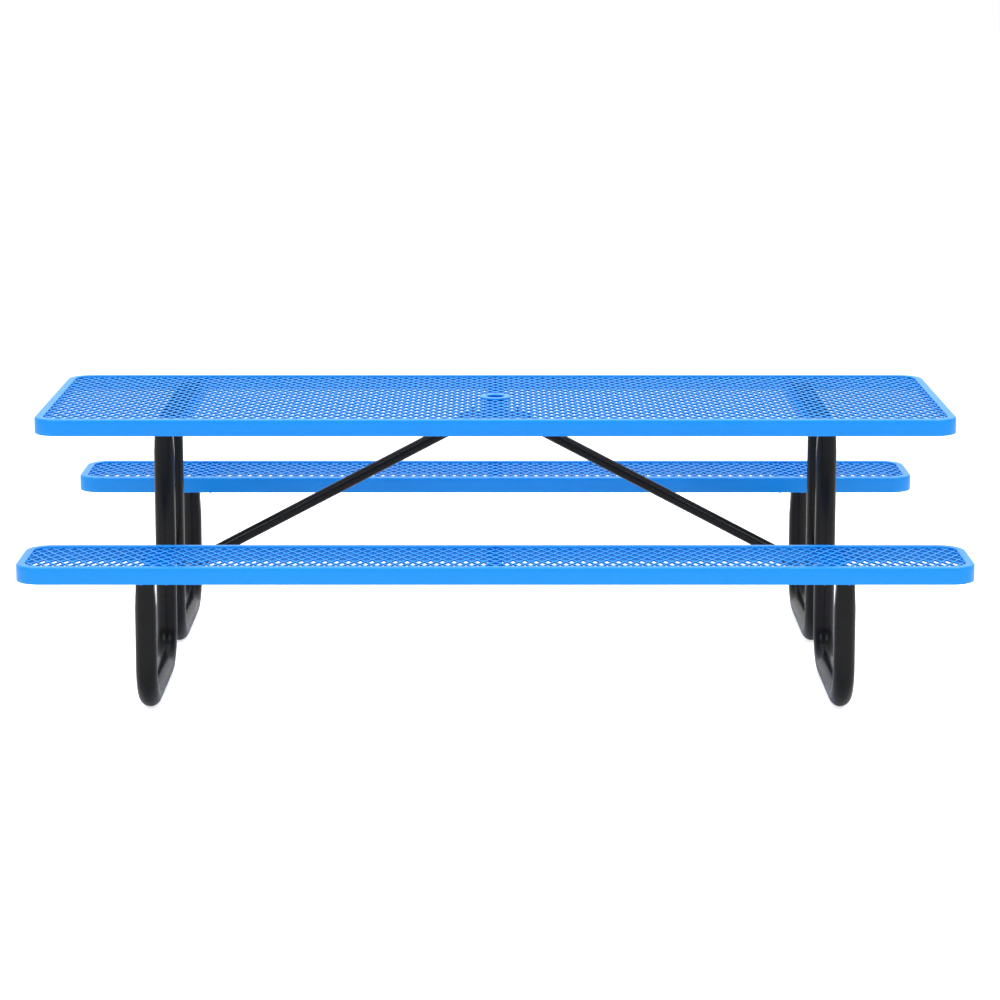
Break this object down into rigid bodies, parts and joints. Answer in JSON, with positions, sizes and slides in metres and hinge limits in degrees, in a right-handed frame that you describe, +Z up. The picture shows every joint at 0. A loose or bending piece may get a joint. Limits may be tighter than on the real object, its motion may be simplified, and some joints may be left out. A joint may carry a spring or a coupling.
{
  "type": "picnic table",
  "caption": "Rectangular picnic table with two fixed benches, coated expanded metal trays on bent tube end frames, and an umbrella collar.",
  "frame": {"origin": "on the ground under the middle of the tabletop", "axes": "+X along the table's length, +Y from the front bench to the rear bench, +Z up"},
  "size_m": [2.438, 1.472, 0.738],
  "materials": {
    "blue_coating": "glossy thermoplastic coating over steel",
    "black_frame": "semi-gloss powder coat",
    "zinc_steel": "zinc plated"
  },
  "bodies": {
    "root": {"tabletop_rim": "blue_coating", "tabletop_mesh": "blue_coating", "tabletop_strap": "blue_coating", "tabletop_bar_left": "blue_coating", "tabletop_bar_right": "blue_coating", "umbrella_collar": "blue_coating", "front_bench_rim": "blue_coating", "front_bench_mesh": "blue_coating", "front_bench_strap": "blue_coating", "rear_bench_rim": "blue_coating", "rear_bench_mesh": "blue_coating", "rear_bench_strap": "blue_coating", "front_channel_left": "blue_coating", "front_channel_right": "blue_coating", "rear_channel_left": "blue_coating", "rear_channel_right": "blue_coating", "upper_lugs": "blue_coating", "rail_left": "black_frame", "rail_right": "black_frame", "front_leg_left": "black_frame", "front_leg_right": "black_frame", "rear_leg_left": "black_frame", "rear_leg_right": "black_frame", "tie_left": "black_frame", "tie_right": "black_frame", "brace_left": "black_frame", "brace_right": "black_frame", "lower_lugs": "black_frame", "frame_bolts": "zinc_steel", "frame_washers": "zinc_steel", "frame_nuts": "zinc_steel", "rail_bolts": "zinc_steel", "rail_nuts": "zinc_steel", "brace_bolts": "zinc_steel", "brace_nuts": "zinc_steel"}
  },
  "joints": []
}
